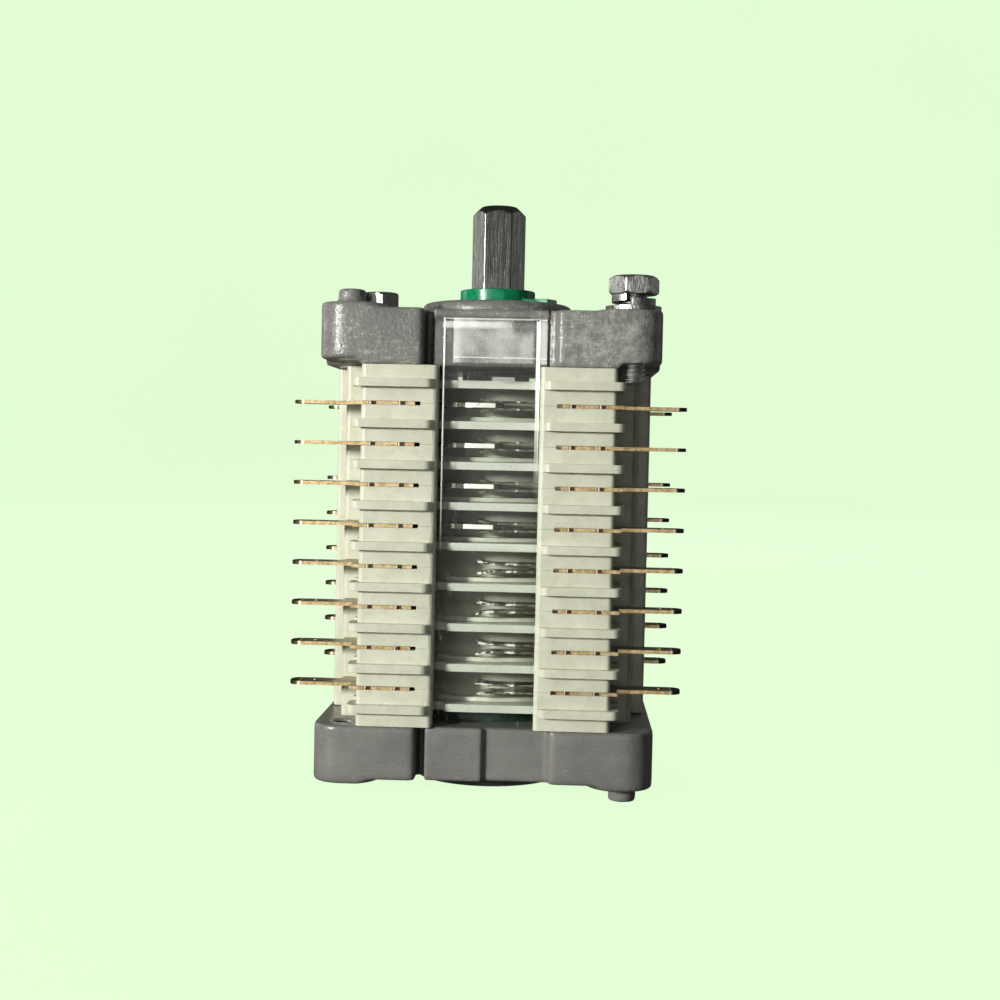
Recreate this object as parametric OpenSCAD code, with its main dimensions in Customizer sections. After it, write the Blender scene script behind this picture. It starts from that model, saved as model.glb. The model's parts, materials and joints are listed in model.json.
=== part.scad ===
// Rotary auxiliary switch: a stack of moulded contact decks between two die-cast ends,
// turned by a hexagon shaft. Lengths are in millimetres and angles in degrees.
// The origin is on the shaft axis, level with the lowest point. Front is -Y, up is +Z.

/* [Deck stack] */
// Height from one deck to the next
pitch = 9; // [8.5:0.5:12]
// Height from an end casting to the nearest fin's middle
end_gap = 4; // [3.5:0.25:6]

/* [End castings] */
// Distance from a mounting point to the casting's side
cast_side = 6.6; // [6.2:0.1:9]
// Height of the lower casting's arms
cast_h = 12; // [11:0.5:16]
// Height of the upper casting's arms over the deck stack
crown_h = 12.6; // [11.6:0.2:16]
// How much less the upper casting reaches down at its corners
crown_lift = 1.1; // [0.5:0.1:1.5]
// Radius of the casting's upright corners
cast_corner = 6.5; // [4:0.5:8]
// Half width of the recess in the front and rear faces
recess_half = 14.7; // [14:0.1:17]
// Rounding of the upright edges beside the recess
recess_round = 1.2; // [0.4:0.1:1.8]
// Depth of that recess
recess_deep = 2.5; // [2:0.1:3]
// How far half of the lower recess stands proud again
step_proud = 1.4; // [0.5:0.1:2]
// Width of the deep slot at one end of a recess
slot_w = 1.9; // [1.5:0.1:2.5]
// Depth of that slot
slot_deep = 7; // [3:0.5:8]
// Radius of the round hub around the bearing
hub_r = 17.8; // [14:0.2:19]
// Height of the lower hub beyond the arms
hub_h = 4.3; // [3:0.1:6]
// Height of the upper hub above the arms
crown_hub_h = 3.5; // [2.5:0.1:6]
// Bevel around the hub
hub_bevel = 0.9; // [0.3:0.1:1.5]

/* [Mounting points] */
// Distance from a mounting point to the casting's front
mount_in = 7.5; // [7:0.1:8.5]
// Radius of the raised pad around each mounting point
pad_r = 8.1; // [7.6:0.1:8.4]
// Width of a pad's sloping rim
pad_slope = 1.3; // [0.6:0.1:2]
// Height of the raised pad
pad_h = 1.1; // [0.5:0.1:1.5]
// Height of the pad under the mounting bolt
seat_h = 0.5; // [0.3:0.1:1]
// Radius of a locating peg
peg_r = 3.1; // [2:0.1:3.5]
// Height of a locating peg above the arms
peg_h = 4.3; // [3:0.1:6]
// Core radius of a threaded mounting hole
thread_r = 2.5; // [2:0.1:2.8]

/* [Deck frames] */
// Half width of the window between two corner blocks
block_in = 11.2; // [10.8:0.1:11.8]
// Rounding of a block's upright edges
block_round = 1.1; // [0.4:0.1:1.6]
// Radius of the free space around the rotor
sweep_r = 31; // [28:0.5:36]
// Thickness of a side wall where it is thinnest
side_wall = 2.2; // [1.8:0.1:3]
// Distance from a side wall's end to the mounting bolt
side_gap = 3.1; // [2.6:0.1:4]
// How far a fin stands out of its block
fin_out = 1.9; // [1:0.1:2.5]
// Rounding of a fin's corners
fin_round = 1.8; // [0.6:0.1:1.9]
// Thickness of a fin
fin_t = 1.9; // [1.4:0.1:2.4]
// Distance from the window's edge to a fin's rounded end
fin_back = 0.9; // [0.5:0.1:1.5]
// Thickness of the partition between two decks
web_t = 1.75; // [1.2:0.05:2]
// Radius of the hole in a partition
web_bore = 10.2; // [9.8:0.1:11]
// Distance from a window's back to a partition's front edge
web_back = 0.5; // [0.3:0.1:1]
// Width of the notch at one end of that edge
web_notch = 2.5; // [1.5:0.1:3.5]

/* [Covers] */
// Half width of a clear window's raised panel
window_half = 10.6; // [10:0.1:10.7]
// Wall of a clear window
window_wall = 1.2; // [0.8:0.1:1.3]
// How far a window's flange reaches beyond its panel
window_flange = 2; // [1.5:0.1:2]
// How far a window's panel lies behind the blocks' front faces
window_sunk = 0.8; // [0.5:0.1:1.2]
// Distance from a blade's rim to a window's back
window_room = 1; // [0.6:0.1:2]
// How far a window reaches up into the top casting
window_rise = 10.6; // [6:0.1:10.8]
// Half width of a side cover
side_cover_half = 7.2; // [6:0.1:9]
// How far a side cover stands out of the side wall
side_cover_out = 3.5; // [2.5:0.1:3.7]
// Wall of a side cover
side_cover_wall = 1.5; // [1:0.1:2]

/* [Shaft and rotor] */
// Shaft size across the flats
shaft_af = 11; // [10:0.5:11.5]
// Length of shaft above the top bush
shaft_out = 20; // [10:0.5:40]
// Height of the bevel at the shaft's end
shaft_bevel = 2.2; // [1:0.1:3]
// Radius of a bush's sleeve
bush_r = 8; // [7.7:0.1:8.5]
// Radius of a bush's collar
collar_r = 8.9; // [8.7:0.1:9.5]
// Height of the top bush's collar
collar_h = 3.2; // [2:0.1:5]
// Reach of the thin ear beside the collar
ear_r = 14.2; // [12:0.1:16]
// Thickness of that ear
ear_t = 1.1; // [0.6:0.1:1.6]
// Radius of a carrier's hub
carrier_hub_r = 9.4; // [8.8:0.1:9.6]
// Distance from a carrier's drum to the springs
carrier_gap = 2.6; // [1:0.1:4]
// How far a carrier's rim stands out of the drum
rim_out = 3.5; // [1:0.1:4]
// Thickness of a carrier's rim
rim_t = 0.9; // [0.6:0.1:1.4]
// Angle that the shaft turns through
stroke = 60; // [60:1:62]

/* [Contacts] */
// Inner radius of a blade
blade_in = 18; // [16:0.5:19]
// Distance from a blade's rim to the frames around it
blade_room = 1.2; // [0.8:0.1:2]
// Thickness of a blade
blade_t = 1; // [0.8:0.05:1.1]
// Angle that a blade spans
blade_span = 94; // [92:1:95]
// Angle of a closed blade's leading end, from the front
blade_lead = 6; // [4:1:7]
// How far a spring covers the blade
spring_lap = 4.7; // [4.5:0.1:5]
// Width of a spring
spring_w = 5.1; // [4:0.1:5.3]
// Thickness of a spring
spring_t = 0.45; // [0.3:0.05:0.5]
// How far a spring reaches past the middle of its side
spring_tip = 2; // [0:0.5:4]
// Distance from a spring's root to the side wall's end
spring_back = 1.4; // [1.3:0.1:1.8]
// How far the springs' tips curl apart
spring_curl = 0.5; // [0.2:0.05:0.8]
// Thickness of a terminal plate
plate_t = 0.8; // [0.6:0.05:0.9]
// How far a plug tab reaches beyond its block
tab_out = 15.7; // [12:0.1:20]
// Width of a plug tab
tab_w = 6.3; // [4.8:0.1:6.4]
// Distance from a plug tab's middle line to the block's front face
tab_in = 8.15; // [8:0.05:8.3]
// Radius of the hole in a plug tab
tab_hole_r = 0.8; // [0.5:0.05:1]
// Distance from the tip to that hole
tab_hole_back = 5; // [3:0.5:7]
// Rounding of a plug tab's tip
tab_round = 2.3; // [0.5:0.1:3]
// Length of a terminal's seat for its springs
seat_len = 4.8; // [4.4:0.1:5]
// How far a plate starts to show beyond that seat's start
plate_lag = 2; // [1.6:0.1:2.8]
// How far a plate stands out of its block beside the front face
plate_out = 1.5; // [0.5:0.1:1.8]
// Width of a notch in a plate's front edge
plate_notch_w = 1.4; // [0.8:0.1:2]
// Depth of a notch in a plate's front edge
plate_notch_deep = 1.2; // [0.6:0.1:1.4]
// Radius of a rivet's shank
rivet_r = 0.8; // [0.5:0.05:0.9]
// Radius of a rivet's head
rivet_head_r = 1.3; // [1.05:0.05:1.4]
// Height of a rivet's head
rivet_head_h = 0.4; // [0.2:0.05:0.6]

/* [Fasteners] */
// Radius of the mounting bolt
bolt_r = 3; // [2.6:0.1:3.1]
// Length of the mounting bolt below its head
bolt_len = 20; // [18:1:20]
// Head of the mounting bolt, across the flats
bolt_af = 10; // [9:0.5:11]
// Height of the mounting bolt's head
bolt_head_h = 4.2; // [3:0.1:5]
// Outer radius of the flat washer
washer_r = 6.2; // [5.5:0.1:6.4]
// Thickness of the flat washer
washer_t = 1; // [0.6:0.1:1.6]
// Outer radius of the spring washer
lock_r = 4.9; // [4.7:0.1:5.8]
// Section of the spring washer
lock_t = 1.5; // [1.2:0.1:1.7]
// How far the spring washer's ends stand apart
lock_rise = 1; // [0.4:0.1:1.2]
// Wall between a tie bolt and the rotor's free space
tie_wall = 0.35; // [0.3:0.05:0.5]
// Direction of a tie bolt from the axis
tie_angle = 40.1; // [39.6:0.1:40.6]
// Wall between a tie bolt and its block's outer side
tie_cover = 0.6; // [0.5:0.1:0.9]
// Clearance of the mounting bolt beside a block
bolt_gap = 0.3; // [0.2:0.1:0.6]
// Radius of a tie bolt
tie_r = 2; // [1.6:0.1:2]
// Head of a tie bolt, across the flats
tie_af = 7; // [6:0.5:7.5]
// Height of a tie bolt's head
tie_head_h = 3.2; // [2.5:0.1:4]
// Outer radius of a tie bolt's washer
tie_washer_r = 4.4; // [4:0.1:4.5]
// Thickness of a tie bolt's washer
tie_washer_t = 0.8; // [0.5:0.1:0.8]
// How deep a tie bolt goes into the lower casting
tie_deep = 9; // [6:0.5:10]
// Outer radius of the retaining ring
ring_r = 8; // [7.5:0.1:8.4]
// Thickness of the retaining ring
ring_t = 1; // [0.8:0.1:1.2]
// How deep the ring's groove is cut into the shaft's flats
ring_bite = 0.7; // [0.4:0.1:1]
// Depth of the pocket around the retaining ring
ring_pocket = 2.6; // [2.4:0.1:2.9]

/* [Fits] */
// Play between pieces that are put together
play = 0.1; // [0.05:0.05:0.15]
// Running clearance of a bush in its casting, on the radius
run_fit = 0.05; // [0.02:0.01:0.08]
// Gap between a blade and each of its springs
blade_gap = 0.1; // [0.06:0.01:0.12]

/* [Hidden] */
decks = 8;
open_decks = 4;
fine = 96;
round_fn = 48;
small_fn = 24;
over = 1;

z_arms = max(hub_h, peg_h);
z_stack = z_arms + cast_h;
z_roof = z_stack + 2 * end_gap + decks * pitch;
z_crown = z_roof + crown_h;
z_hub_top = z_crown + crown_hub_h;
z_rotor_low = z_stack + end_gap;
z_rotor_high = z_roof - end_gap;
z_ring = z_arms - hub_h + ring_pocket - play - ring_t - play;
shaft_tail = 0.7;
z_shaft_end = z_ring - shaft_tail;
z_shaft_top = z_hub_top + run_fit + collar_h + shaft_out;

blade_out = sweep_r - blade_room;
groove_back = blade_out + window_room;
groove_front = groove_back + window_wall;
block_front = groove_front + window_wall + window_sunk;
web_front = groove_back - web_back;
tie_reach = sweep_r + tie_r + tie_wall;
tie_x = tie_reach * cos(tie_angle);
tie_y = tie_reach * sin(tie_angle);
block_out = tie_x + tie_r + tie_cover;
mount_x = block_out + bolt_r + bolt_gap;
mount_y = block_front - mount_in;
cast_w = 2 * (mount_x + cast_side);
cast_d = 2 * block_front;
side_x = sweep_r + side_wall;
side_half = mount_y - bolt_r - side_gap;
spring_in = blade_out - spring_lap;
spring_root = side_half - spring_back;
seat_start = spring_root - seat_len;
plate_start = seat_start + plate_lag;
carrier_r = spring_in - carrier_gap;
rim_r = carrier_r + rim_out;
drum_t = pitch - web_t - 2 * play;
plate_r = carrier_r + 1.5;
tab_x = block_out + tab_out;
tab_y = block_front - tab_in;

blade_half = blade_t / 2;
spring_z = blade_half + blade_gap;
spring_top = spring_z + spring_t;
plate_half = plate_t / 2;
spring_out = spring_in + spring_w;
plate_clear_r = sweep_r + 0.3;
step_half = recess_half - slot_w;
corner_in = block_out + 0.5;
block_back = side_half - 8.4;
plate_back = tie_y + tie_r + 0.7;
pocket_lead = 1.2;
link_wall = 0.6;
room_start = sqrt(max(0, sweep_r * sweep_r - spring_out * spring_out)) - 4 * play;
groove_r = shaft_af / 2 - ring_bite;
rivet_pos = [(seat_start + spring_root) / 2 + 0.3, spring_out - rivet_head_r - 0.7];
bolt_seat = z_crown + seat_h + washer_t + lock_t + lock_rise + play;
notch_places = [plate_start + 2.6, block_out - 2.8];
link_lap = 1.8;
bolt_turn = 10;
tie_turn = 20;
head_bevel = 0.8;
bolt_tip = 1;
bevel_wide = 0.59;
bevel_narrow = 0.47;
shaft_narrow = 0.66;
lock_in = bolt_r + 2 * play;
lock_start = -100;
lock_turn = 348;
lock_steps = 48;
ring_open = 3.2;
cover_round = 0.7;
web_root = 0.4;
link_inset = 0.3;
ear_plan = [[5, -6.5], [ear_r - 2.2, -7.5], [ear_r, -4], [ear_r - 0.8, -1], [5, 0.5]];

// Height of the joint above frame i, where deck i has its contacts
function joint_z(i) = z_stack + end_gap + pitch * (i - 0.5);
// Height of the middle of frame i's fins
function fin_z(i) = z_stack + end_gap + pitch * (i - 1);
function frame_low(i) = i == 1 ? z_stack : joint_z(i - 1);
function frame_high(i) = i > decks ? z_roof : joint_z(i);
// The lower decks are open at rest, so their carriers are set back by the stroke
function deck_angle(i) = i <= open_decks ? -stroke : 0;

// A rectangle between two corners, with rounded corners
module plate2d(x0, x1, y0, y1, r) {
    translate([x0 + r, y0]) square([x1 - x0 - 2 * r, y1 - y0]);
    translate([x0, y0 + r]) square([x1 - x0, y1 - y0 - 2 * r]);
    for (x = [x0 + r, x1 - r], y = [y0 + r, y1 - r])
        translate([x, y]) circle(r, $fn = small_fn);
}

module box2d(x0, x1, y0, y1) {
    translate([x0, y0]) square([x1 - x0, y1 - y0]);
}

// Twice, the second one turned half round
module half_turns() {
    children();
    rotate(180) children();
}

// In all four quarters, by reflection
module quarters() {
    half_turns() {
        children();
        mirror([1, 0, 0]) children();
    }
}

module hexagon(af, h) {
    cylinder(h = h, r = af / sqrt(3), $fn = 6);
}

// End castings, drawn with the inner face at zero and the hub above. The side is the one,
// left or right of the front, that has the deep slot and the tie bolt
module casting_outline() {
    plate2d(-cast_w / 2, cast_w / 2, -cast_d / 2, cast_d / 2, cast_corner);
}

module casting_plan(stepped, side) {
    edge = recess_half + recess_round;
    difference() {
        casting_outline();
        half_turns() translate([0, -cast_d / 2]) {
            box2d(-recess_half, recess_half, -over, recess_deep);
            box2d(-edge, edge, -over, recess_round);
            box2d(min(side * step_half, side * recess_half),
                  max(side * step_half, side * recess_half), -over, slot_deep);
        }
    }
    quarters() translate([edge, cast_d / 2 - recess_round]) circle(recess_round, $fn = small_fn);
    if (stepped)
        half_turns() translate([0, -cast_d / 2])
            box2d(0, step_half, recess_deep - step_proud, recess_deep + over);
}

module casting(stepped, side, deep_tie, high, hub, seat) {
    difference() {
        union() {
            linear_extrude(high) casting_plan(stepped, side);
            translate([0, 0, high - over])
                cylinder(h = hub - hub_bevel + over, r = hub_r, $fn = fine);
            translate([0, 0, high + hub - hub_bevel])
                cylinder(h = hub_bevel, r1 = hub_r, r2 = hub_r - hub_bevel, $fn = fine);
            intersection() {
                translate([0, 0, high - over]) linear_extrude(peg_h + over) casting_outline();
                half_turns() {
                    translate([-mount_x, -mount_y, high]) pad(pad_h);
                    translate([mount_x, -mount_y, high]) pad(seat);
                }
            }
            half_turns() translate([-mount_x, -mount_y, high - over])
                cylinder(h = peg_h + over, r = peg_r, $fn = round_fn);
        }
        translate([0, 0, -over])
            cylinder(h = high + hub + 2 * over, r = bush_r + run_fit, $fn = fine);
        rotate(180) mount_hole(thread_r, high);
        if (deep_tie) {
            mount_hole(thread_r, high);
            tie_holes(side, -over, tie_deep + play);
        } else {
            mount_hole(bolt_r + run_fit, high);
            tie_holes(side, -over, high + over);
            half_turns() translate([side * tie_x, -tie_y, high])
                cylinder(h = pad_h + over, r = tie_washer_r + play, $fn = round_fn);
        }
    }
}

module pad(high) {
    translate([0, 0, -over]) cylinder(h = over, r = pad_r + pad_slope, $fn = round_fn);
    cylinder(h = high, r1 = pad_r + pad_slope, r2 = pad_r, $fn = round_fn);
}

module mount_hole(r, high) {
    translate([mount_x, -mount_y, -over])
        cylinder(h = high + pad_h + 2 * over, r = r, $fn = round_fn);
}

module tie_holes(side, low, high) {
    half_turns() translate([side * tie_x, -tie_y, low])
        cylinder(h = high - low, r = tie_r + play, $fn = round_fn);
}

module bottom_end_casting() {
    color("dimgray")
    difference() {
        translate([0, 0, z_stack]) rotate([0, 180, 0])
            casting(true, 1, true, cast_h, hub_h, pad_h);
        translate([0, 0, z_arms - hub_h - over])
            cylinder(h = ring_pocket + over, r = ring_r + 1, $fn = fine);
    }
}

module top_end_casting() {
    reach = window_half + window_flange + 3 * play;
    color("dimgray")
    translate([0, 0, z_roof])
    difference() {
        casting(false, -1, false, crown_h, crown_hub_h, seat_h);
        half_turns() translate([0, 0, -over]) linear_extrude(window_rise + play + over)
            box2d(-reach, reach, -cast_d / 2 - over, -groove_back + 2 * play);
        quarters() translate([0, 0, -over]) linear_extrude(crown_lift + over)
            box2d(corner_in, cast_w / 2 + over, side_half + 2 * play, cast_d / 2 + over);
    }
}

// Deck frames
module frame_plan() {
    difference() {
        union() {
            quarters() plate2d(block_in, block_out, block_back, block_front, block_round);
            plate2d(-side_x, side_x, -side_half, side_half, block_round);
        }
        circle(sweep_r, $fn = 2 * fine);
    }
}

module web_plan() {
    difference() {
        union() {
            circle(sweep_r + web_root, $fn = 2 * fine);
            box2d(-block_in - web_root, block_in + web_root, -web_front, web_front);
        }
        circle(web_bore, $fn = fine);
        half_turns() {
            box2d(-block_in - over, block_in + over, -sweep_r - over, -web_front);
            box2d(-block_in, web_notch - block_in, -web_front - over, web_notch - web_front);
        }
    }
}

module fin_plan() {
    difference() {
        quarters() plate2d(block_in + fin_back, block_out + fin_out,
                           side_half - 2, block_front + fin_out, fin_round);
        circle(sweep_r, $fn = 2 * fine);
        quarters() translate([mount_x, mount_y]) circle(bolt_r + 3 * play, $fn = round_fn);
    }
}

module groove_plan() {
    reach = window_half + window_flange + 2 * play;
    half_turns() box2d(-reach, reach, -groove_front - play, -groove_back + play);
}

module deck_frame(i) {
    color("beige")
    difference() {
        union() {
            translate([0, 0, frame_low(i)])
                linear_extrude(frame_high(i) - frame_low(i)) frame_plan();
            translate([0, 0, fin_z(i) - web_t / 2]) linear_extrude(web_t) web_plan();
            translate([0, 0, fin_z(i) - fin_t / 2]) linear_extrude(fin_t) fin_plan();
        }
        translate([0, 0, z_stack - over]) linear_extrude(z_roof - z_stack + 2 * over)
            groove_plan();
        tie_holes(-1, z_stack - over, z_roof + over);
        if (i > 1) contact_pockets(joint_z(i - 1));
        if (i <= decks) contact_pockets(joint_z(i));
    }
}

// The room that one deck's contacts take out of the frames, half above and half below
module contact_pockets(z) {
    translate([0, 0, z]) half_turns() {
        slab(plate_half + play / 5) right_plate_plan(play);
        slab(plate_half + play / 5) left_plate_plan(play);
        spring_rooms() {
            slab(spring_top + play)
                box2d(room_start, spring_root + play, -spring_out - play, -spring_in + 2);
            slab(spring_top + rivet_head_h + play)
                translate([rivet_pos[0], -rivet_pos[1]]) circle(rivet_head_r + play, $fn = small_fn);
        }
    }
}

module slab(half) {
    translate([0, 0, -half]) linear_extrude(2 * half) children();
}

// The front contact, and the one a quarter turn on at the left
module spring_rooms() {
    children();
    rotate(-90) children();
}

// Terminals. The right one takes its springs along the front, the left one along the left side
module tab_plan(grow) {
    low = -tab_y - tab_w / 2 - grow;
    high = -tab_y + tab_w / 2 + grow;
    middle = block_out + tab_out / 2;
    difference() {
        union() {
            box2d(block_out - play, middle, low, high);
            plate2d(middle - tab_round - over, tab_x + grow, low, high, tab_round);
        }
        if (grow == 0)
            translate([tab_x - tab_hole_back, -tab_y]) circle(tab_hole_r, $fn = small_fn);
    }
}

module plate_front_plan(grow) {
    difference() {
        box2d(plate_start - (grow > 0 ? pocket_lead : 0), block_out + plate_out + grow,
              -block_front - grow, -plate_back + grow);
        if (grow == 0)
            for (x = notch_places) translate([x, -block_front])
                box2d(-plate_notch_w / 2, plate_notch_w / 2, -over, plate_notch_deep);
    }
}

module seat_plan(grow) {
    box2d(seat_start - grow, spring_root + grow, -spring_out - grow, -spring_in + grow);
}

module right_plate_plan(grow) {
    difference() {
        union() {
            plate_front_plan(grow);
            tab_plan(grow);
            seat_plan(grow);
        }
        plate_openings(grow);
    }
}

module left_plate_plan(grow) {
    difference() {
        union() {
            mirror([1, 0, 0]) plate_front_plan(grow);
            mirror([1, 0, 0]) tab_plan(grow);
            rotate(-90) seat_plan(grow);
            box2d(-side_x + link_wall - grow, -block_out - link_inset + grow,
                  -tab_y, -seat_start + grow);
            box2d(-side_x + link_wall - grow,
                  -min(block_out + link_inset, spring_out - link_lap) + grow,
                  -spring_root - grow, -seat_start + grow);
        }
        plate_openings(grow);
    }
}

module plate_openings(grow) {
    circle(plate_clear_r - grow, $fn = 2 * fine);
    if (grow == 0) rivet_holes();
}

module rivet_holes() {
    spring_rooms() translate([rivet_pos[0], -rivet_pos[1]])
        circle(rivet_r + play / 2, $fn = small_fn);
}

module seat_pad() {
    difference() {
        slab(spring_z) difference() {
            seat_plan(0);
            circle(plate_clear_r, $fn = 2 * fine);
        }
        slab(spring_z + over) rivet_holes();
    }
}

module terminals(i) {
    color("peru")
    translate([0, 0, joint_z(i)]) half_turns() {
        union() {
            slab(plate_half) right_plate_plan(0);
            seat_pad();
        }
        union() {
            slab(plate_half) left_plate_plan(0);
            rotate(-90) seat_pad();
        }
    }
}

// Side view of one leaf spring: flat from its root, with its tip curled away from the blade
function spring_side() = [
    [spring_root, spring_z], [1, spring_z], [0.4 - spring_tip, spring_z + 0.8 * spring_curl],
    [-spring_tip, spring_z + spring_curl], [-spring_tip, spring_top + spring_curl],
    [0.3 - spring_tip, spring_top + 1.1 * spring_curl], [1, spring_top], [spring_root, spring_top]
];

module leaf_spring() {
    difference() {
        translate([0, -spring_in, 0]) rotate([90, 0, 0])
            linear_extrude(spring_w) polygon(spring_side());
        translate([rivet_pos[0], -rivet_pos[1], 0])
            cylinder(h = 2 * spring_top, r = rivet_r + play / 2, $fn = small_fn);
    }
}

module contact_springs(i) {
    color("silver")
    translate([0, 0, joint_z(i)]) half_turns() spring_rooms() {
        leaf_spring();
        mirror([0, 0, 1]) leaf_spring();
    }
}

module rivets() {
    color("silver")
    for (i = [1:decks]) translate([0, 0, joint_z(i)]) half_turns() spring_rooms()
        translate([rivet_pos[0], -rivet_pos[1], 0]) {
            cylinder(h = 2 * spring_top, r = rivet_r, center = true, $fn = small_fn);
            for (side = [0, 180]) rotate([side, 0, 0]) translate([0, 0, spring_top])
                cylinder(h = rivet_head_h, r = rivet_head_r, $fn = small_fn);
        }
}

// Rotor
module blade_sector(grow) {
    start = -90 + blade_lead - blade_span - grow * 3;
    rotate(start) rotate_extrude(angle = blade_span + grow * 6, $fn = 2 * fine)
        translate([blade_in - grow, -blade_half - grow / 2])
            square([blade_out - blade_in + 2 * grow, blade_t + grow]);
}

module contact_blades(i) {
    color("gainsboro")
    translate([0, 0, joint_z(i)]) rotate(deck_angle(i)) half_turns() blade_sector(0);
}

module contact_carrier(i) {
    color("darkseagreen")
    translate([0, 0, joint_z(i)]) rotate(deck_angle(i)) difference() {
        union() {
            translate([0, 0, -pitch / 2]) cylinder(h = pitch, r = carrier_hub_r, $fn = fine);
            cylinder(h = drum_t, r = carrier_r, center = true, $fn = fine);
            translate([0, 0, -drum_t / 2]) cylinder(h = rim_t, r = rim_r, $fn = fine);
        }
        translate([0, 0, -pitch]) hexagon(shaft_af + play, 2 * pitch);
        half_turns() blade_sector(play);
    }
}

module drive_shaft() {
    corner = shaft_af / sqrt(3);
    wide = corner + play;
    color("silver")
    difference() {
        intersection() {
            translate([0, 0, z_shaft_end]) hexagon(shaft_af, z_shaft_top - z_shaft_end);
            union() {
                translate([0, 0, z_shaft_end])
                    cylinder(h = z_shaft_top - shaft_bevel - z_shaft_end, r = wide, $fn = fine);
                translate([0, 0, z_shaft_top - shaft_bevel])
                    cylinder(h = shaft_bevel, r1 = wide, r2 = corner * shaft_narrow, $fn = fine);
            }
        }
        translate([0, 0, z_ring - play / 2]) difference() {
            cylinder(h = ring_t + play, r = corner + 1, $fn = fine);
            translate([0, 0, -over]) cylinder(h = ring_t + 2 * over, r = groove_r, $fn = fine);
        }
    }
}

module retaining_ring() {
    color("silver")
    translate([0, 0, z_ring]) linear_extrude(ring_t) difference() {
        circle(ring_r, $fn = fine);
        circle(groove_r + play / 2, $fn = fine);
        box2d(-ring_open, ring_open, 0, ring_r + over);
    }
}

module top_bush() {
    collar_z = z_hub_top + run_fit;
    color("green")
    difference() {
        union() {
            translate([0, 0, z_rotor_high])
                cylinder(h = collar_z - z_rotor_high + over, r = bush_r, $fn = fine);
            translate([0, 0, collar_z]) cylinder(h = collar_h, r = collar_r, $fn = fine);
            translate([0, 0, collar_z]) linear_extrude(ear_t)
                polygon(ear_plan);
        }
        translate([0, 0, z_rotor_high - over])
            hexagon(shaft_af + play, z_hub_top + collar_h - z_rotor_high + 3 * over);
    }
}

module bottom_bush() {
    sleeve_low = z_ring + ring_t + play / 2;
    color("green")
    difference() {
        union() {
            translate([0, 0, sleeve_low])
                cylinder(h = z_rotor_low - sleeve_low, r = bush_r, $fn = fine);
            translate([0, 0, z_stack + run_fit])
                cylinder(h = z_rotor_low - z_stack - run_fit, r = collar_r, $fn = fine);
            translate([0, 0, z_stack + run_fit])
                cylinder(h = end_gap - web_t / 2 - 4 * play, r = plate_r, $fn = fine);
        }
        translate([0, 0, sleeve_low - over])
            hexagon(shaft_af + play, z_rotor_low - sleeve_low + 2 * over);
    }
}

// Covers
module window_plan() {
    reach = window_half + window_flange;
    front = -block_front + window_sunk;
    difference() {
        union() {
            plate2d(-window_half, window_half, front, -groove_back, cover_round);
            box2d(-reach, reach, -groove_front, -groove_back);
        }
        box2d(-window_half + window_wall, window_half - window_wall,
              front + window_wall, -groove_back + over);
    }
}

module window() {
    translate([0, 0, z_stack + play])
        linear_extrude(z_roof + window_rise - z_stack - 2 * play) window_plan();
}

module front_window() {
    color("white", 0.35) window();
}

module rear_window() {
    color("white", 0.35) rotate(180) window();
}

module side_cover() {
    near = side_x + play;
    far = side_x + side_cover_out;
    translate([0, 0, z_stack + play]) linear_extrude(z_roof - z_stack - 2 * play) difference() {
        plate2d(near, far, -side_cover_half, side_cover_half, cover_round);
        box2d(near - over, far - side_cover_wall,
              -side_cover_half + side_cover_wall, side_cover_half - side_cover_wall);
    }
}

module left_side_cover() {
    color("beige") rotate(180) side_cover();
}

module right_side_cover() {
    color("beige") side_cover();
}

// Fasteners
module mounting_bolt() {
    color("silver")
    translate([mount_x, -mount_y, bolt_seat]) {
        translate([0, 0, bolt_tip - bolt_len])
            cylinder(h = bolt_len - bolt_tip, r = bolt_r, $fn = round_fn);
        translate([0, 0, -bolt_len])
            cylinder(h = bolt_tip, r1 = bolt_r - head_bevel, r2 = bolt_r, $fn = round_fn);
        rotate(bolt_turn) intersection() {
            hexagon(bolt_af, bolt_head_h);
            union() {
                cylinder(h = bolt_head_h - head_bevel, r = bolt_af, $fn = round_fn);
                translate([0, 0, bolt_head_h - head_bevel])
                    cylinder(h = head_bevel, r1 = bolt_af * bevel_wide, r2 = bolt_af * bevel_narrow,
                             $fn = round_fn);
            }
        }
    }
}

// One ring of the spring washer's section at angle a, from the lower inner corner round
function lock_ring(a, low) = [
    for (p = [[lock_in, 0], [lock_r, 0], [lock_r, lock_t], [lock_in, lock_t]])
        [p[0] * cos(a), p[0] * sin(a), p[1] + low]
];

module spring_washer() {
    steps = lock_steps;
    points = [for (k = [0:steps])
        each lock_ring(lock_start + lock_turn * k / steps, lock_rise * k / steps)];
    sides = [for (k = [0:steps - 1], j = [0:3])
        [4 * k + j, 4 * k + 4 + j, 4 * k + 4 + (j + 1) % 4, 4 * k + (j + 1) % 4]];
    color("silver")
    translate([mount_x, -mount_y, z_crown + seat_h + washer_t + play / 2])
        polyhedron(points, concat(sides, [[0, 1, 2, 3],
            [4 * steps + 3, 4 * steps + 2, 4 * steps + 1, 4 * steps]]));
}

module flat_washer() {
    color("silver")
    translate([mount_x, -mount_y, z_crown + seat_h]) linear_extrude(washer_t) difference() {
        circle(washer_r, $fn = round_fn);
        circle(bolt_r + 2 * play, $fn = round_fn);
    }
}

module at_ties() {
    half_turns() translate([-tie_x, -tie_y, z_crown]) children();
}

module tie_bolts() {
    length = z_crown + tie_washer_t - z_stack + tie_deep;
    color("lightsteelblue")
    at_ties() translate([0, 0, tie_washer_t]) {
        translate([0, 0, -length]) cylinder(h = length, r = tie_r, $fn = round_fn);
        rotate(tie_turn) hexagon(tie_af, tie_head_h);
    }
}

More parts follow.
